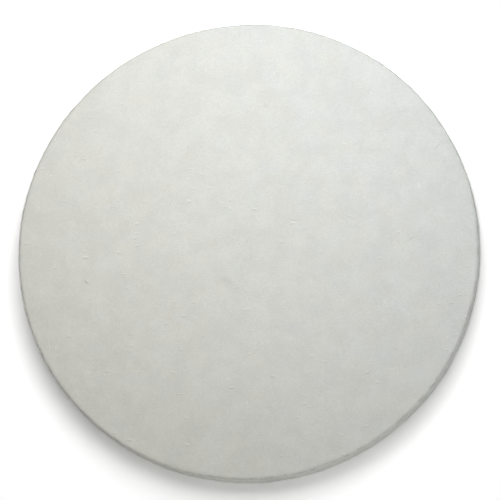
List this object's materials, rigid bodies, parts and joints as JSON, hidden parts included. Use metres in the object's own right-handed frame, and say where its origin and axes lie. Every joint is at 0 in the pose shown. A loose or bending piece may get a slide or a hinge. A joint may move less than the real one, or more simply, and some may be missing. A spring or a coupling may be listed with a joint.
{
  "type": "floor polishing pad",
  "caption": "Flat round pad of white nonwoven fibre web with a soft die-cut edge, carried under a floor machine's pad driver to polish hard floors.",
  "frame": {"origin": "centre of the lower face, on the floor", "axes": "+Z is the pad's axis, from the lower face to the upper face that takes the pad driver"},
  "size_m": [0.432, 0.432, 0.025],
  "materials": {
    "white_fibre": "matte lofty fibre"
  },
  "bodies": {
    "root": {"fibre_web_pad": "white_fibre"}
  },
  "joints": []
}
